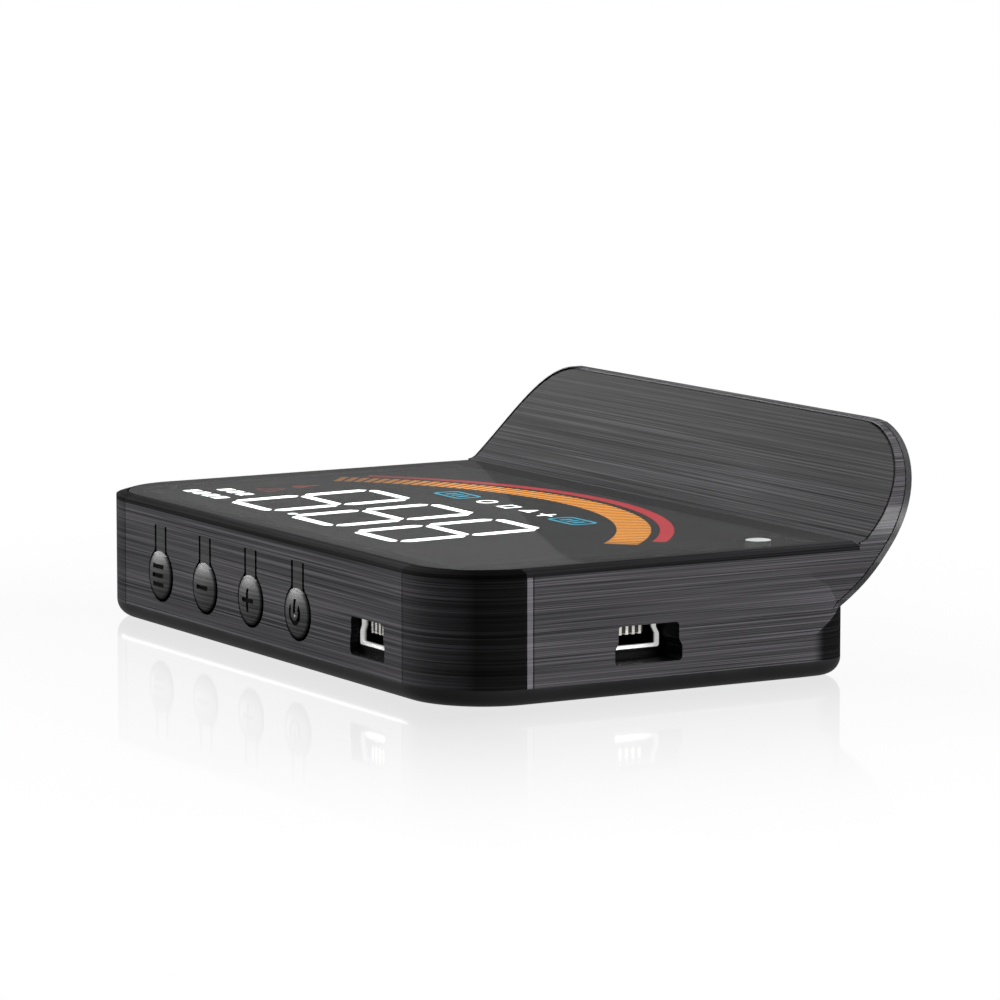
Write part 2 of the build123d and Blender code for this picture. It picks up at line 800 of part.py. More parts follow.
with BuildPart() as bulk_capacitors:
    with BuildSketch(Plane.XY.offset(main_board_top)):
        with Locations(*capacitor_points):
            Circle(capacitor_radius)
    extrude(amount=capacitor_height)
finish(bulk_capacitors, "bulk_capacitors")

with BuildPart() as crystal_can:
    with BuildSketch(Plane.XY.offset(main_board_top)):
        with Locations(crystal_point):
            RectangleRounded(crystal_width, crystal_depth, crystal_corner)
    extrude(amount=crystal_height)
finish(crystal_can, "crystal_can")

with BuildPart() as buzzer:
    with BuildSketch(Plane.XY.offset(main_board_top)):
        with Locations(buzzer_point):
            Circle(buzzer_radius)
    extrude(amount=buzzer_height)
    with BuildSketch(Plane.XY.offset(main_board_top + buzzer_height)):
        with Locations(buzzer_point):
            Circle(buzzer_hole_radius)
    extrude(amount=-buzzer_hole_depth, mode=Mode.SUBTRACT)
finish(buzzer, "buzzer")


# ---------------------------------------------------------------- sockets
def socket(name, mouth):
    """Write the shell, tongue and contacts of a mini-USB socket whose mouth lies on a plane."""
    back = -(shell_length - shell_wall)
    with BuildPart() as shell:
        extrude(shell_outline(mouth, 0), amount=-shell_length)
        extrude(shell_outline(mouth, shell_wall), amount=back, mode=Mode.SUBTRACT)
    finish(shell, f"{name}_port_shell")
    middle = shell_height / 2 - shell_wall - tongue_height / 2
    tongue_end = mouth.offset(back + tongue_length)
    with BuildPart() as tongue:
        with BuildSketch(mouth.offset(back)):
            with Locations((0, middle)):
                Rectangle(tongue_width, tongue_height)
        extrude(amount=tongue_length)
        with BuildSketch(tongue_end):
            with Locations((0, middle)):
                with GridLocations(contact_pitch, 0, contact_count, 1):
                    Rectangle(contact_width, tongue_height)
        extrude(amount=-contact_height, mode=Mode.SUBTRACT)
    finish(tongue, f"{name}_port_tongue")
    with BuildPart() as contacts:
        with BuildSketch(tongue_end):
            with Locations((0, middle - contact_height / 2)):
                with GridLocations(contact_pitch, 0, contact_count, 1):
                    Rectangle(contact_width, tongue_height + contact_height)
        extrude(amount=-contact_height)
        with BuildSketch(tongue_end):
            with Locations((0, middle - tongue_height / 2 - contact_height / 2)):
                with GridLocations(contact_pitch, 0, contact_count, 1):
                    Rectangle(contact_width, contact_height)
        extrude(amount=-tongue_length)
    finish(contacts, f"{name}_port_contacts")


socket("side", side_plane(shell_z))
socket("front", front_plane(shell_z))

# ---------------------------------------------------------------- switches
post_end_y = hinge_y + key_post_length
plunger_tip_y = post_end_y + plunger_gap
switch_front_y = plunger_tip_y + plunger_reach

with BuildPart() as switch_bodies:
    with BuildSketch(Plane.XY.offset(main_board_top)):
        with Locations(*[(x, switch_front_y + switch_depth / 2) for x in key_centres]):
            Rectangle(switch_width, switch_depth)
    extrude(amount=switch_height)
    with BuildSketch(Plane.XZ.offset(-switch_front_y)):
        with Locations(*[(x, key_z) for x in key_centres]):
            Circle(plunger_diameter / 2 + plunger_clearance)
    extrude(amount=-switch_hole_depth, mode=Mode.SUBTRACT)
finish(switch_bodies, "switch_bodies")


# ---------------------------------------------------------------- keys
def menu_symbol():
    """Three bars, one above the other."""
    with GridLocations(0, 2 * symbol_line, 1, 3):
        Rectangle(symbol_length, symbol_line)


def minus_symbol():
    """One bar."""
    Rectangle(symbol_length, symbol_line)


def plus_symbol():
    """Two crossed bars."""
    Rectangle(symbol_length, symbol_line)
    Rectangle(symbol_line, symbol_length)


def power_symbol():
    """An open ring with a bar in the opening."""
    ring = symbol_length / 2
    Circle(ring)
    Circle(ring - symbol_line, mode=Mode.SUBTRACT)
    with Locations((0, ring)):
        Rectangle(1.2 * ring, 1.2 * ring, mode=Mode.SUBTRACT)
    with Locations((0, 0.6 * ring)):
        Rectangle(symbol_line, 1.2 * ring)


key_symbols = {
    "menu": menu_symbol,
    "minus": minus_symbol,
    "plus": plus_symbol,
    "power": power_symbol,
}
dome_radius = ((key_head / 2) ** 2 + key_dome**2) / (2 * key_dome)
head_front = front_y - key_proud

for x, (name, symbol) in zip(key_centres, key_symbols.items()):
    with BuildPart() as key:
        with BuildSketch(Plane.XZ.offset(-hinge_y)):
            with Locations((x, key_z)):
                Circle(key_head / 2)
        extrude(amount=key_thickness + key_proud + key_dome)
        # Shallow dome on the head
        with BuildSketch(Plane.YZ.offset(x)):
            with BuildLine():
                dome_top = (head_front - key_dome, key_z)
                rim_point = (head_front, key_z + key_head / 2)
                RadiusArc(dome_top, rim_point, dome_radius)
                Polyline(rim_point, (hinge_y, key_z + key_head / 2), (hinge_y, key_z), dome_top)
            make_face()
        revolve(axis=Axis((x, 0, key_z), (0, 1, 0)), mode=Mode.INTERSECT)
        # Strap up to the hinge line
        strap_middle = (key_z + strap_top_z - hinge_gap) / 2
        with BuildSketch(Plane.XZ.offset(-hinge_y)):
            with Locations((x, strap_middle)):
                Rectangle(strap_width, strap_top_z - hinge_gap - key_z)
        extrude(amount=key_thickness)
        with BuildSketch(Plane.XZ.offset(-hinge_y)):
            with Locations((x, key_z)):
                Circle(key_post / 2)
        extrude(amount=-key_post_length)
        with BuildSketch(Plane.XZ.offset(-(head_front - key_dome))):
            with Locations((x, key_z)):
                symbol()
        extrude(amount=-symbol_depth, mode=Mode.SUBTRACT)
    finish(key, f"{name}_key")
    with BuildPart() as plunger:
        with BuildSketch(Plane.XZ.offset(-plunger_tip_y)):
            with Locations((x, key_z)):
                Circle(plunger_diameter / 2)
        extrude(amount=-(plunger_reach + plunger_seat))
    finish(plunger, f"{name}_switch_plunger")

# ---------------------------------------------------------------- fasteners
for name, points, head_top, length, pointing_up in (
    ("housing_screws", boss_points, screw_sink - head_height, housing_screw_length, True),
    ("board_screws", board_screw_points, main_board_top + head_height, board_screw_length, False),
    (
        "display_screws",
        display_screw_points,
        display_board_z - head_height,
        board_thickness + display_screw_length,
        True,
    ),
):
    with BuildPart() as fasteners:
        turn = 1 if pointing_up else -1
        with BuildSketch(Plane.XY.offset(head_top)):
            with Locations(*points):
                Circle(screw_head / 2)
        extrude(amount=turn * head_height)
        with BuildSketch(Plane.XY.offset(head_top)):
            with Locations(*points):
                Circle(screw_diameter / 2)
        extrude(amount=turn * (head_height + length))
        with BuildSketch(Plane.XY.offset(head_top)):
            with Locations(*points):
                Rectangle(drive_length, drive_width)
                Rectangle(drive_width, drive_length)
        extrude(amount=turn * head_height / 2, mode=Mode.SUBTRACT)
    finish(fasteners, name)
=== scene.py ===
import math

import bpy
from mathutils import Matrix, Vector


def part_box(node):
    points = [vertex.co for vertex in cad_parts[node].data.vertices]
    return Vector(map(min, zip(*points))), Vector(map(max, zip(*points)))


# Looks, light and camera for a flat dashboard head-up display with a curved light shade.
# Every length is in metres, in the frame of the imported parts: +X to the side socket,
# -Y to the keys, +Y to the shade, +Z up.

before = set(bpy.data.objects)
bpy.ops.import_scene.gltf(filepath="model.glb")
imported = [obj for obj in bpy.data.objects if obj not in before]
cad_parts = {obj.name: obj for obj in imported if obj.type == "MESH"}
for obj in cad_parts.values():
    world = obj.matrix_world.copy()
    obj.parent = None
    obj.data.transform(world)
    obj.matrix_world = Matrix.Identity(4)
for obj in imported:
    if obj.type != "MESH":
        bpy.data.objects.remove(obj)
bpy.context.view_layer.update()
MM = 0.001

# ------------------------------------------------------------------ measures taken from the frame
case_low, case_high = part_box("main_housing")
tray_low, tray_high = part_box("base_tray")
window_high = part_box("top_window")[1]
HALF_WIDTH = tray_high.x
FRONT_Y = tray_low.y
REAR_Y = tray_high.y
DECK_Z = window_high.z
PAD_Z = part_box("grip_pad")[0].z
FRONT_CORNER = 10.4 * MM          # plan radius of the case's front corners
BEAD_Y = FRONT_Y + FRONT_CORNER   # where the side wall turns into the corner
REAR_ARC_Y, REAR_ARC_Z = 1.66 * MM, 36.77 * MM  # axis of the shade's back
REAR_ARC_RADIUS = 37.1 * MM
SHADE_FOOT_Y = window_high.y      # where the deck ends at the foot of the shade
SIDE_BEND_Y = 20.2 * MM           # behind this the sides lean in under the shade
RIM_FOOT_Z = DECK_Z - 0.9 * MM    # where the wall rounds over into the rim
WALL_LOW_Z = case_low.z
MIRROR_DIRECTION = (-0.856, 0.499, 0.131)  # where level surfaces mirror the line of sight
GAUGE_CENTRE = (-2.2 * MM, -28.85 * MM)
SIDE_MOUTH_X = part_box("side_port_shell")[1].x
FRONT_MOUTH_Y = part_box("front_port_shell")[0].y
SOCKETS_APART_X = 31.2 * MM       # plane between the two sockets
KEY_HEAD_Z = 6.85 * MM
DOME_PROUD = 0.5 * MM             # how far a key's middle stands out of the wall
DOME_BEND = 0.4 / 2.925 ** 2 / MM  # fall of the dome with the square of the radius
KEY_HEADS_X = [(-25.0 + 11.67 * step) * MM for step in range(4)]
SIDE_OPENING = (-1.08 * MM, 6.05 * MM, 4.5 * MM, 2.25 * MM)   # y, z, half width, half height
KEY_WALL_HALF = 34.0 * MM         # the key slots and the front opening lie within this of x = 0
WALL_REACH = 4.0 * MM             # depth behind the front that the cut faces stay within
CUTS_TOP_Z = 13.6 * MM            # above all the slots and openings
SKIN = 0.04 * MM                  # points deeper than this lie on a cut face, not on the wall


# ------------------------------------------------------------------ node graph helpers
class Graph:
    """Short calls for building a shader from nodes."""

    def __init__(self, name):
        self.material = bpy.data.materials.new(name)
        self.material.use_nodes = True
        self.tree = self.material.node_tree
        self.tree.nodes.clear()
        self.output = self.node("ShaderNodeOutputMaterial")

    def node(self, kind, settings=None, **inputs):
        made = self.tree.nodes.new(kind)
        for key, value in (settings or {}).items():
            setattr(made, key, value)
        for key, value in inputs.items():
            self.set(made, key.replace("_", " "), value)
        return made

    def set(self, made, key, value):
        socket = made.inputs[int(key)] if key.isdigit() else made.inputs[key]
        if isinstance(value, bpy.types.NodeSocket):
            self.tree.links.new(value, socket)
        else:
            socket.default_value = value

    def math(self, operation, first, second=0.0, third=0.0, clamp=False):
        made = self.node("ShaderNodeMath", {"operation": operation, "use_clamp": clamp})
        for slot, value in enumerate((first, second, third)):
            self.set(made, str(slot), value)
        return made.outputs[0]

    def vector(self, operation, first, second=(0, 0, 0)):
        made = self.node("ShaderNodeVectorMath", {"operation": operation})
        self.set(made, "0", first)
        self.set(made, "1", second)
        return made.outputs["Value" if operation in ("DOT_PRODUCT", "LENGTH") else "Vector"]

    def range(self, value, low, high, to_low=0.0, to_high=1.0, smooth=True):
        kind = "SMOOTHSTEP" if smooth else "LINEAR"
        made = self.node("ShaderNodeMapRange", {"interpolation_type": kind})
        for key, given in zip(("0", "1", "2", "3", "4"), (value, low, high, to_low, to_high)):
            self.set(made, key, given)
        return made.outputs[0]

    def mix(self, factor, first, second, blend="MIX"):
        made = self.node("ShaderNodeMix", {"data_type": "RGBA", "blend_type": blend})
        self.set(made, "0", factor)
        self.set(made, "6", first)
        self.set(made, "7", second)
        return made.outputs[2]

    def noise(self, coordinates, scale, detail=2.0, roughness=0.5):
        scaled = self.vector("MULTIPLY", coordinates, scale)
        made = self.node("ShaderNodeTexNoise", {"noise_dimensions": "3D"})
        for key, value in (("Vector", scaled), ("Scale", 1.0), ("Detail", detail),
                           ("Roughness", roughness)):
            self.set(made, key, value)
        return made.outputs[0]

    def object_point(self):
        return self.node("ShaderNodeTexCoord").outputs["Object"]

    def axes(self, vector):
        return self.node("ShaderNodeSeparateXYZ", Vector=vector).outputs

    def finish(self, surface):
        self.set(self.output, "Surface", surface)
        return self.material


def grey(value):
    return (value, value, value, 1.0)


# ------------------------------------------------------------------ materials
def brushed(name, base, along, across, roughness=0.42, contrast=1.0, extra=None):
    """Dark plastic with fine straight brush lines: low frequency along, high across."""
    g = Graph(name)
    point = g.object_point()
    fine = g.noise(point, tuple(50 if a else 16000 for a in across), 1.0, 0.5)
    medium = g.noise(point, tuple(20 if a else 6800 for a in across), 1.0, 0.5)
    broad = g.noise(point, tuple(9 if a else 1500 for a in across), 2.0, 0.5)
    drift = g.noise(point, (25, 25, 25), 2.0, 0.5)
    bright_line = g.range(medium, 0.56, 0.62)
    dark_line = g.range(medium, 0.45, 0.38)
    shade = g.math("ADD", 1.0, g.math("MULTIPLY", g.math("SUBTRACT", fine, 0.5), 1.5 * contrast))
    shade = g.math("ADD", shade, g.math("MULTIPLY", bright_line, 0.95 * contrast))
    shade = g.math("SUBTRACT", shade, g.math("MULTIPLY", dark_line, 0.6 * contrast))
    shade = g.math("ADD", shade, g.math("MULTIPLY", g.math("SUBTRACT", broad, 0.5), 0.3 * contrast))
    shade = g.math("ADD", shade, g.math("MULTIPLY", g.math("SUBTRACT", drift, 0.5), 0.2))
    shade = g.math("MAXIMUM", shade, 0.15)
    gloss = 1.0
    if extra:
        shade, gloss = extra(g, point, shade)
    colour = g.vector("SCALE", base[:3])
    g.set(colour.node, "Scale", shade)
    height = g.math("ADD", medium, g.math("MULTIPLY", fine, 0.5))
    bump = g.node("ShaderNodeBump", Strength=0.12, Distance=0.01 * MM, Height=height)
    rough = g.math("ADD", roughness, g.math("MULTIPLY", g.math("SUBTRACT", fine, 0.5), 0.15))
    normal = g.node("ShaderNodeNewGeometry").outputs["Normal"]
    tangent = g.vector("CROSS_PRODUCT", normal, along)
    surface = g.node("ShaderNodeBsdfPrincipled", Base_Color=colour, Roughness=rough,
                     Normal=bump.outputs[0], Anisotropic=0.75, Tangent=tangent,
                     Specular_IOR_Level=g.math("MULTIPLY", gloss, 0.5))
    return g.finish(surface.outputs[0])


def moulded(name, base, roughness=0.45, grain=9000, depth=0.006, clearcoat=0.0):
    """Plain moulded plastic: faint grain, slight mottling and uneven gloss."""
    g = Graph(name)
    point = g.object_point()
    texture = g.noise(point, (grain,) * 3, 3.0, 0.6)
    mottle = g.noise(point, (180,) * 3, 3.0, 0.55)
    shade = g.range(mottle, 0.3, 0.7, 0.88, 1.12, smooth=False)
    colour = g.vector("SCALE", base[:3])
    g.set(colour.node, "Scale", shade)
    bump = g.node("ShaderNodeBump", Strength=0.25, Distance=depth * MM, Height=texture)
    rough = g.range(mottle, 0.3, 0.7, roughness - 0.05, roughness + 0.05, smooth=False)
    surface = g.node("ShaderNodeBsdfPrincipled", Base_Color=colour, Roughness=rough,
                     Normal=bump.outputs[0], Coat_Weight=clearcoat, Coat_Roughness=0.12)
    return g.finish(surface.outputs[0])


def metal(name, base, roughness=0.3, painted_glow=0.0, extra=None):
    """Bright stamped metal with fine rolling marks, and a painted glow: its own colour given off as
    light, as strong as painted_glow.
    """
    g = Graph(name)
    point = g.object_point()
    marks = g.noise(point, (900, 900, 7000), 3.0, 0.6)
    shade = g.range(marks, 0.3, 0.7, 0.85, 1.08, smooth=False)
    if extra:
        shade = extra(g, point, shade)
    colour = g.vector("SCALE", base[:3])
    g.set(colour.node, "Scale", shade)
    bump = g.node("ShaderNodeBump", Strength=0.2, Distance=0.008 * MM, Height=marks)
    rough = g.range(marks, 0.3, 0.7, roughness - 0.06, roughness + 0.08, smooth=False)
    # The emission is painted light: a glow on metal that nothing lights.
    surface = g.node("ShaderNodeBsdfPrincipled", Base_Color=colour, Roughness=rough,
                     Metallic=1.0, Normal=bump.outputs[0], Emission_Color=colour,
                     Emission_Strength=painted_glow)
    return g.finish(surface.outputs[0])


def socket_depth(g, point):
    """How far a point lies behind the mouth of the socket it belongs to."""
    x, y, _ = g.axes(point)
    side_depth = g.math("SUBTRACT", SIDE_MOUTH_X, x)
    front_depth = g.math("SUBTRACT", y, FRONT_MOUTH_Y)
    in_side = g.math("GREATER_THAN", x, SOCKETS_APART_X)
    return g.math("ADD", g.math("MULTIPLY", in_side, side_depth),
                  g.math("MULTIPLY", g.math("SUBTRACT", 1.0, in_side), front_depth))


def mouth_only(g, point, shade):
    """Bright at the rolled edge of the mouth, black further in where no light reaches."""
    return g.math("MULTIPLY", shade, g.range(socket_depth(g, point), 0.15 * MM, 0.7 * MM, 1.0, 0.0))


def tip_only(g, point, shade):
    """Contacts: painted shade, bright at the tongue's tip and dim further in, which dims their
    painted glow as well.
    """
    return g.math("MULTIPLY", shade, g.range(socket_depth(g, point), 1.0 * MM, 4.0 * MM, 1.0, 0.1))


def lit(name, colour, strength, fade=None):
    """Diffuser window with light behind it, its brightness speckled a little and, where a fade is
    given, shaped by that fade.
    """
    g = Graph(name)
    point = g.object_point()
    speckle = g.noise(point, (2500,) * 3, 2.0, 0.5)
    level = g.range(speckle, 0.3, 0.7, 0.93 * strength, 1.07 * strength, smooth=False)
    if fade:
        level = g.math("MULTIPLY", level, fade(g, point))
    surface = g.node("ShaderNodeBsdfPrincipled", Base_Color=colour, Roughness=0.5,
                     Emission_Color=colour, Emission_Strength=level)
    return g.finish(surface.outputs[0])


def gauge_fade(start, end):
    """Brightness that falls towards the ends of the gauge's arc, slowly on the left side."""
    def fade(g, point):
        x, y, _ = g.axes(point)
        across = g.math("SUBTRACT", x, GAUGE_CENTRE[0])
        depth = g.math("SUBTRACT", y, GAUGE_CENTRE[1])
        angle = g.math("ARCTAN2", across, depth)
        left = g.range(angle, math.radians(-end), math.radians(-start), 0.1, 1.0)
        right = g.range(angle, math.radians(49), math.radians(40), 0.35, 1.0)
        return g.math("MULTIPLY", left, right)
    return fade


def smoked_window(name):
    """Dark tinted acrylic: a clear view down through it under a weak polished reflection."""
    g = Graph(name)
    point = g.object_point()
    cloud = g.noise(point, (60, 60, 60), 3.0, 0.6)
    tint = g.mix(cloud, (0.60, 0.62, 0.61, 1.0), (0.66, 0.67, 0.66, 1.0))
    through = g.node("ShaderNodeBsdfRefraction", Color=tint, Roughness=0.0, IOR=1.49)
    mirror = g.node("ShaderNodeBsdfGlossy", Color=grey(1.0), Roughness=0.02)
    facing_up = g.math("GREATER_THAN", g.axes(point)[2], DECK_Z - 0.05 * MM)
    strength = g.range(cloud, 0.3, 0.7, 0.034, 0.040, smooth=False)
    mixed = g.node("ShaderNodeMixShader")
    g.set(mixed, "0", g.math("MULTIPLY", strength, facing_up))
    g.set(mixed, "1", through.outputs[0])
    g.set(mixed, "2", mirror.outputs[0])
    haze = g.node("ShaderNodeBsdfDiffuse", Color=grey(0.05))
    together = g.node("ShaderNodeAddShader")
    g.set(together, "0", mixed.outputs[0])
    g.set(together, "1", haze.outputs[0])
    return g.finish(together.outputs[0])


def circuit_board(name):
    """Green solder mask over faint copper tracks."""
    g = Graph(name)
    point = g.object_point()
    lanes = g.node("ShaderNodeTexWave", {"wave_type": "BANDS", "bands_direction": "DIAGONAL"},
                   Vector=point, Scale=260.0, Distortion=3.0, Detail=1.0)
    track = g.range(lanes.outputs[1], 0.55, 0.62)
    colour = g.mix(track, (0.012, 0.075, 0.03, 1), (0.02, 0.12, 0.045, 1))
    bump = g.node("ShaderNodeBump", Strength=0.3, Distance=0.03 * MM, Height=track)
    surface = g.node("ShaderNodeBsdfPrincipled", Base_Color=colour, Roughness=0.35,
                     Normal=bump.outputs[0])
    return g.finish(surface.outputs[0])


def inside_box(g, across, up, box):
    """1 inside a rectangle given by its centre and half sizes, 0 outside."""
    middle_across, middle_up, half_across, half_up = box
    near = g.math("LESS_THAN", g.math("ABSOLUTE", g.math("SUBTRACT", across, middle_across)),
                  half_across)
    level = g.math("LESS_THAN", g.math("ABSOLUTE", g.math("SUBTRACT", up, middle_up)), half_up)
    return g.math("MULTIPLY", near, level)


def scaled(g, value, mask, factor):
    """Value times a factor (a number or a socket) where the mask is 1, unchanged where it is 0."""
    change = g.math("MULTIPLY", mask, g.math("SUBTRACT", factor, 1.0))
    return g.math("MULTIPLY", value, g.math("ADD", 1.0, change))


def both(g, first, second):
    """1 where both masks are 1."""
    return g.math("MULTIPLY", first, second)


def corner_mask(g, y, reach):
    """The round front corners, up to the bead."""
    return both(g, g.math("LESS_THAN", y, BEAD_Y - 0.45 * MM),
                g.math("GREATER_THAN", reach, HALF_WIDTH - FRONT_CORNER))


def leaning_mask(g, point, reach):
    """The leaning part of the side walls, below the arc of the shade's back."""
    from_axis = g.vector("SUBTRACT", point, (0, REAR_ARC_Y, REAR_ARC_Z))
    distance = g.vector("LENGTH", g.vector("MULTIPLY", from_axis, (0, 1, 1)))
    return both(g, g.math("GREATER_THAN", distance, REAR_ARC_RADIUS - 0.02 * MM),
                g.math("LESS_THAN", reach, HALF_WIDTH - 0.01 * MM))


def rim_mask(g, y, z):
    """The rim around the window and the rounded edge below it, in front of the shade."""
    level = both(g, g.math("GREATER_THAN", z, RIM_FOOT_Z),
                 g.math("LESS_THAN", z, DECK_Z + 0.02 * MM))
    return both(g, level, g.math("LESS_THAN", y, SHADE_FOOT_Y))


def cut_mask(g, y, z, reach):
    """Faces cut into the walls: inside the openings and the key slots."""
    side_depth = g.math("SUBTRACT", HALF_WIDTH - SKIN, reach)
    front_depth = g.math("SUBTRACT", y, FRONT_Y + SKIN)
    in_side = both(g, g.math("GREATER_THAN", side_depth, 0.0), inside_box(g, y, z, SIDE_OPENING))
    near_front = both(g, g.math("LESS_THAN", reach, KEY_WALL_HALF),
                      g.math("LESS_THAN", front_depth, WALL_REACH))
    in_front = both(g, g.math("GREATER_THAN", front_depth, 0.0), near_front)
    return both(g, g.math("MAXIMUM", in_side, in_front), g.math("LESS_THAN", z, CUTS_TOP_Z))


def housing_zones(g, point, shade):
    """Painted shade: darken the round front corners, the rim and its shoulders, the leaning walls
    under the shade and the cut-outs, and weaken their gloss; painted highlight: a light line along
    the bead on each side.
    """
    x, y, z = g.axes(point)
    reach = g.math("ABSOLUTE", x)
    # Painted shade: the round front corners darken from the front face towards the side.
    turn = g.range(y, FRONT_Y + 0.2 * MM, FRONT_Y + 4.5 * MM, 0.62, 0.10, smooth=False)
    # Painted shade on the leaning walls below the shade's back, deepening behind the bend.
    rear = g.range(y, SIDE_BEND_Y + 0.6 * MM, SIDE_BEND_Y + 2.4 * MM, 1.0, 0.12)
    level = scaled(g, 1.0, corner_mask(g, y, reach), turn)
    level = scaled(g, level, leaning_mask(g, point, reach), rear)
    # Painted shade on the rim and its rounded shoulder, and deep in the openings and key slots.
    level = scaled(g, level, rim_mask(g, y, z), 0.2)
    level = scaled(g, level, cut_mask(g, y, z, reach), 0.1)
    # Painted highlight: a light line along the bead on each side wall.
    on_wall = both(g, g.math("GREATER_THAN", z, WALL_LOW_Z + 0.05 * MM),
                   g.math("LESS_THAN", z, RIM_FOOT_Z))
    from_bead = g.math("ABSOLUTE", g.math("SUBTRACT", y, BEAD_Y))
    bead = both(g, g.math("LESS_THAN", from_bead, 0.36 * MM), on_wall)
    lifted = g.math("ADD", g.math("MULTIPLY", shade, level), g.math("MULTIPLY", bead, 1.7))
    # The gloss drops together with the painted shade.
    return lifted, g.math("MINIMUM", g.math("ADD", level, 0.06), 1.0)


def facing_zones(g, point, shade):
    """The panel on the shade, with painted shade: lightest at its foot, darkest under the top edge,
    its gloss lowered in step.
    """
    height = g.axes(point)[2]
    # Painted shade: darker with height, towards the top edge.
    level = g.range(height, DECK_Z, case_high.z, 1.0, 0.4, smooth=False)
    return g.math("MULTIPLY", shade, level), g.math("MULTIPLY", level, 0.4)


def key_zones(g, point, shade):
    """Painted shade: darken the narrow sides of the keys and a ring round each head; the signs cut
    into the round heads are darkened too, and the gloss drops with the colour.
    """
    x, y, z = g.axes(point)
    # Painted shade on the narrow sides of the keys, behind the front face.
    sunk = g.math("GREATER_THAN", y, FRONT_Y + 0.04 * MM)
    offsets = [g.math("ABSOLUTE", g.math("SUBTRACT", x, head_x)) for head_x in KEY_HEADS_X]
    across = offsets[0]
    for other in offsets[1:]:
        across = g.math("MINIMUM", across, other)
    up = g.math("SUBTRACT", z, KEY_HEAD_Z)
    radius = g.math("SQRT", g.math("ADD", g.math("MULTIPLY", across, across),
                                   g.math("MULTIPLY", up, up)))
    dome = g.math("MULTIPLY", g.math("MULTIPLY", radius, radius), DOME_BEND)
    skin = g.math("ADD", dome, FRONT_Y - DOME_PROUD)
    below_skin = g.math("GREATER_THAN", g.math("SUBTRACT", y, skin), 0.06 * MM)
    in_head = g.math("LESS_THAN", radius, 1.9 * MM)
    sign = g.math("MULTIPLY", below_skin, in_head)
    # Painted shade: a dark ring round each head where it sits in its opening.
    ring = g.range(radius, 2.45 * MM, 2.85 * MM, 0.0, 0.8)
    ring = g.math("MULTIPLY", ring, g.math("LESS_THAN", up, 2.4 * MM))
    dark = g.math("MAXIMUM", g.math("MULTIPLY", sign, 0.9), g.math("MULTIPLY", sunk, 0.95))
    dark = g.math("MAXIMUM", dark, ring)
    keep = g.math("SUBTRACT", 1.0, dark)
    return g.math("MULTIPLY", shade, keep), keep


UP, RIGHT = (0.02, 0.03, 1), (1.0, 0.03, 0.02)
LEVEL = (True, True, False)       # lines that run level round the walls
WIDTHWISE = (True, False, False)  # lines that run along the width

materials = {
    "housing": brushed("housing_brushed_plastic", (0.078, 0.074, 0.082), UP, LEVEL,
                       extra=housing_zones),
    "facing": brushed("facing_brushed_plastic", (0.054, 0.053, 0.056), RIGHT, WIDTHWISE,
                      extra=facing_zones),
    "cover": brushed("cover_brushed_plastic", (0.06, 0.058, 0.062), RIGHT, WIDTHWISE,
                     contrast=0.6),
    "key": brushed("key_satin_plastic", (0.075, 0.074, 0.078), UP, LEVEL, contrast=0.6,
                   extra=key_zones),
    "tray": moulded("tray_gloss_plastic", (0.016, 0.016, 0.018), 0.3, depth=0.003, clearcoat=0.5),
    "window": smoked_window("window_smoked_acrylic"),
    "diffuser": moulded("sensor_white_plastic", (0.8, 0.84, 0.82), 0.35),
    "reflector": moulded("reflector_black_plastic", (0.012, 0.012, 0.012), 0.7),
    "black": moulded("component_black_plastic", (0.02, 0.02, 0.02), 0.5),
    "nylon": moulded("plunger_pale_nylon", (0.55, 0.53, 0.5), 0.5),
    "rubber": moulded("pad_soft_rubber", (0.018, 0.018, 0.018), 0.85, depth=0.03),
    # Steel shells and gold contacts carry a painted glow, dimmed by painted shade deeper in the
    # sockets.
    "steel": metal("tinned_steel_painted_glow", (0.85, 0.85, 0.84), 0.35, 0.6, mouth_only),
    "screw": metal("blackened_screw_steel", (0.16, 0.16, 0.17), 0.35),
    "can": metal("satin_aluminium_can", (0.7, 0.7, 0.71), 0.4),
    "gold": metal("gold_plated_contact", (0.62, 0.6, 0.55), 0.35, 0.3, tip_only),
    "ferrite": moulded("coil_dark_ferrite", (0.04, 0.04, 0.045), 0.7),
    "board": circuit_board("board_green_mask"),
    "white_light": lit("lit_white_area", (1.0, 1.0, 1.0, 1), 6.0),
    "orange_light": lit("lit_orange_area", (1.0, 0.36, 0.03, 1), 2.0,
                        gauge_fade(20, 46)),
    "red_light": lit("lit_red_area", (0.8, 0.03, 0.05, 1), 1.1,
                     gauge_fade(18, 42)),
    "red_sign": lit("lit_red_sign", (0.6, 0.02, 0.03, 1), 0.35),
    "teal_light": lit("lit_teal_area", (0.02, 0.3, 0.45, 1), 3.0),
}

finishes = {
    "housing": ["main_housing"],
    "facing": ["hood_facing"],
    "cover": ["hood_back_cover"],
    "key": ["menu_key", "minus_key", "plus_key", "power_key"],
    "tray": ["base_tray"],
    "window": ["top_window"],
    "diffuser": ["sensor_diffuser"],
    "reflector": ["display_reflector"],
    "black": ["display_driver", "controller_chip", "light_sensor", "buzzer", "board_header",
              "board_socket", "side_port_tongue", "front_port_tongue"],
    "nylon": [f"{key}_switch_plunger" for key in ("menu", "minus", "plus", "power")],
    "rubber": ["grip_pad"],
    "steel": ["side_port_shell", "front_port_shell"],
    "can": ["bulk_capacitors", "crystal_can", "switch_bodies"],
    "screw": ["housing_screws", "board_screws", "display_screws"],
    "gold": ["side_port_contacts", "front_port_contacts", "header_pins"],
    "ferrite": ["power_inductor"],
    "board": ["display_board", "main_board"],
    "white_light": ["digit_segments", "white_icons"],
    "orange_light": ["gauge_bars"],
    "red_light": ["gauge_redline"],
    "red_sign": ["red_icons"],
    "teal_light": ["teal_icons"],
}

for finish_name, node_names in finishes.items():
    for node_name in node_names:
        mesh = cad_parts[node_name].data
        mesh.materials.clear()
        mesh.materials.append(materials[finish_name])


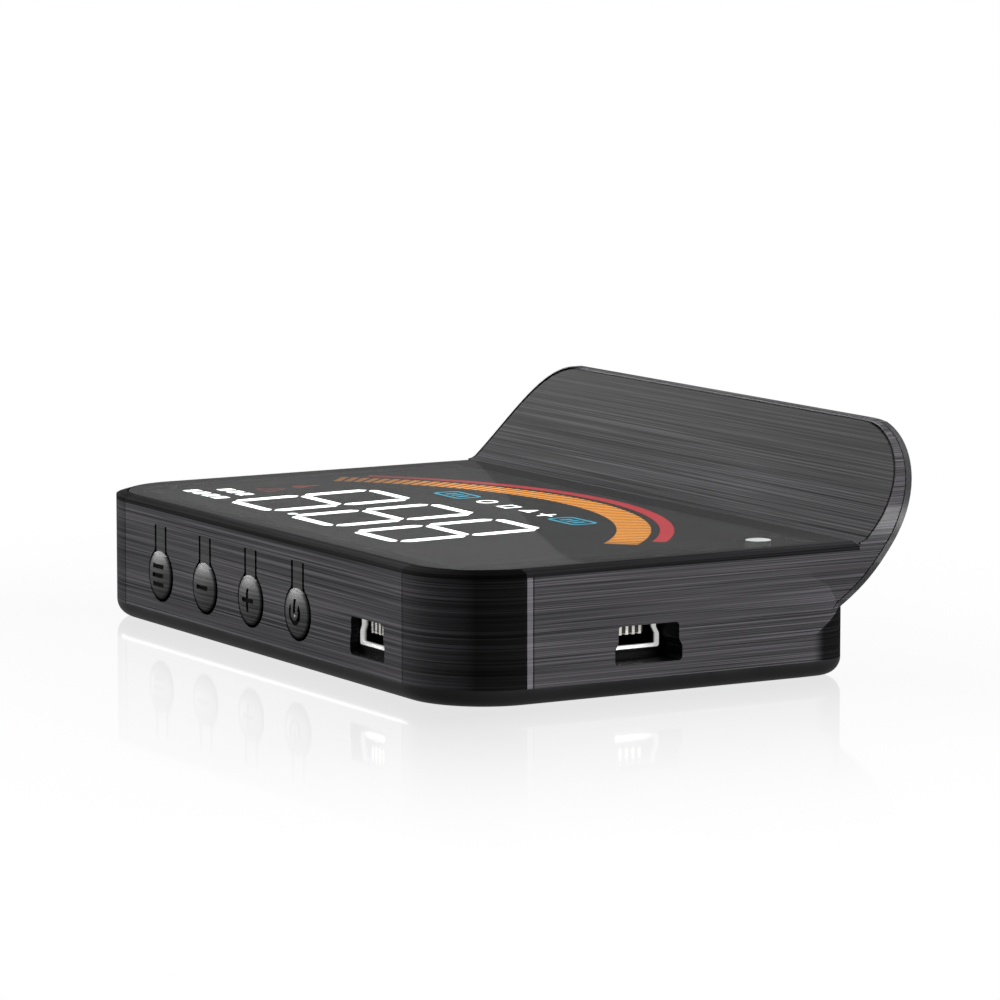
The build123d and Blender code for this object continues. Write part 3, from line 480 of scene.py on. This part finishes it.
# ------------------------------------------------------------------ floor, world and light
def build_floor():
    """Plain pale floor that shows a short, fading reflection of the case."""
    size = 3.0
    mesh = bpy.data.meshes.new("floor")
    level = PAD_Z - 0.02 * MM     # a hair under the pad, so that the two do not coincide
    corners = [(-size, -size, level), (size, -size, level), (size, size, level), (-size, size, level)]
    mesh.from_pydata(corners, [], [(0, 1, 2, 3)])
    floor = bpy.data.objects.new("floor", mesh)
    bpy.context.scene.collection.objects.link(floor)
    g = Graph("floor_pale")
    point = g.object_point()
    x, y, _ = g.axes(point)
    beyond_x = g.math("MAXIMUM", g.math("SUBTRACT", g.math("ABSOLUTE", x), HALF_WIDTH), 0.0)
    beyond_y = g.math("MAXIMUM", g.math("SUBTRACT", g.math("ABSOLUTE", y), REAR_Y), 0.0)
    away = g.math("SQRT", g.math("ADD", g.math("MULTIPLY", beyond_x, beyond_x),
                                 g.math("MULTIPLY", beyond_y, beyond_y)))
    fall = g.range(away, 0.0, 0.085, 1.0, 0.0, smooth=False)
    strength = g.math("MULTIPLY", g.math("MULTIPLY", fall, fall), 0.24)
    seen = g.node("ShaderNodeLightPath").outputs["Is Camera Ray"]
    glow = g.node("ShaderNodeEmission", Color=grey(1.0))
    g.set(glow, "Strength", g.range(seen, 0.0, 1.0, 0.12, 1.0, smooth=False))
    sheen = g.node("ShaderNodeBsdfGlossy", Color=grey(1.0), Roughness=0.06)
    mixed = g.node("ShaderNodeMixShader")
    g.set(mixed, "0", g.math("MULTIPLY", strength, seen))
    g.set(mixed, "1", glow.outputs[0])
    g.set(mixed, "2", sheen.outputs[0])
    # Seen from below the floor is left out, so the underside of the case stays in view
    from_below = g.node("ShaderNodeNewGeometry").outputs["Backfacing"]
    one_sided = g.node("ShaderNodeMixShader")
    g.set(one_sided, "0", from_below)
    g.set(one_sided, "1", mixed.outputs[0])
    g.set(one_sided, "2", g.node("ShaderNodeBsdfTransparent").outputs[0])
    mesh.materials.append(g.finish(one_sided.outputs[0]))


def build_world():
    """White to the eye and where floor and window mirror it, dim grey to everything else."""
    world = bpy.data.worlds.new("studio")
    world.use_nodes = True
    bpy.context.scene.world = world
    tree = world.node_tree
    tree.nodes.clear()

    def add(kind, operation=None, *inputs):
        made = tree.nodes.new(kind)
        if operation:
            made.operation = operation
        for slot, value in enumerate(inputs):
            if isinstance(value, bpy.types.NodeSocket):
                tree.links.new(value, made.inputs[slot])
            else:
                made.inputs[slot].default_value = value
        return made

    path = add("ShaderNodeLightPath").outputs
    view = add("ShaderNodeTexCoord").outputs["Generated"]
    toward = add("ShaderNodeVectorMath", "DOT_PRODUCT", view, MIRROR_DIRECTION).outputs["Value"]
    cone = tree.nodes.new("ShaderNodeMapRange")
    cone.interpolation_type = "SMOOTHSTEP"
    for slot, value in enumerate((toward, math.cos(math.radians(13)), math.cos(math.radians(9)))):
        if isinstance(value, bpy.types.NodeSocket):
            tree.links.new(value, cone.inputs[slot])
        else:
            cone.inputs[slot].default_value = value
    mirrored = add("ShaderNodeMath", "MULTIPLY", cone.outputs[0], path["Is Glossy Ray"])
    white = add("ShaderNodeMath", "MAXIMUM", mirrored.outputs[0], path["Is Camera Ray"])
    level = add("ShaderNodeMath", "MAXIMUM", white.outputs[0], 0.14)
    back = add("ShaderNodeBackground")
    tree.links.new(level.outputs[0], back.inputs["Strength"])
    out = add("ShaderNodeOutputWorld")
    tree.links.new(back.outputs[0], out.inputs[0])


def area_light(name, direction, distance, width, height, power, target=(0, 0, 0.012)):
    """Soft rectangular light that stands at an azimuth and elevation and faces the target."""
    azimuth, elevation = (math.radians(a) for a in direction)
    out = Vector((math.cos(azimuth) * math.cos(elevation),
                  math.sin(azimuth) * math.cos(elevation), math.sin(elevation)))
    data = bpy.data.lights.new(name, "AREA")
    data.shape = "RECTANGLE"
    data.size = width
    data.size_y = height
    data.energy = power
    light = bpy.data.objects.new(name, data)
    light.location = Vector(target) + out * distance
    light.rotation_euler = out.to_track_quat("Z", "Y").to_euler()
    light.visible_camera = False
    bpy.context.scene.collection.objects.link(light)
    return light


def build_camera():
    """Long lens, a little above the deck, looking past the near front corner."""
    azimuth, pitch = math.radians(59.754), math.radians(7.53)
    distance, lens = 0.634779, 191.57
    back = Vector((math.sin(azimuth) * math.cos(pitch),
                   -math.cos(azimuth) * math.cos(pitch), math.sin(pitch)))
    right = Vector((math.cos(azimuth), math.sin(azimuth), 0))
    up = back.cross(right)
    aim = right * 5.072 * MM + up * 16.597 * MM + Vector((0, 0, 0.3 * MM))
    data = bpy.data.cameras.new("camera")
    data.lens = lens
    data.sensor_width = 36.0
    data.clip_start = 0.01
    data.clip_end = 20.0
    camera = bpy.data.objects.new("camera", data)
    camera.location = aim + back * distance
    camera.rotation_euler = back.to_track_quat("Z", "Y").to_euler()
    bpy.context.scene.collection.objects.link(camera)
    bpy.context.scene.camera = camera


build_floor()
build_world()
area_light("left_soft_light", (-150, 8), 0.9, 0.5, 0.2, 4)
area_light("right_soft_light", (30, 12), 0.9, 0.5, 0.25, 5)
area_light("top_soft_light", (-100, 75), 0.9, 0.7, 0.7, 8)
build_camera()
bpy.context.scene.view_settings.view_transform = "Standard"
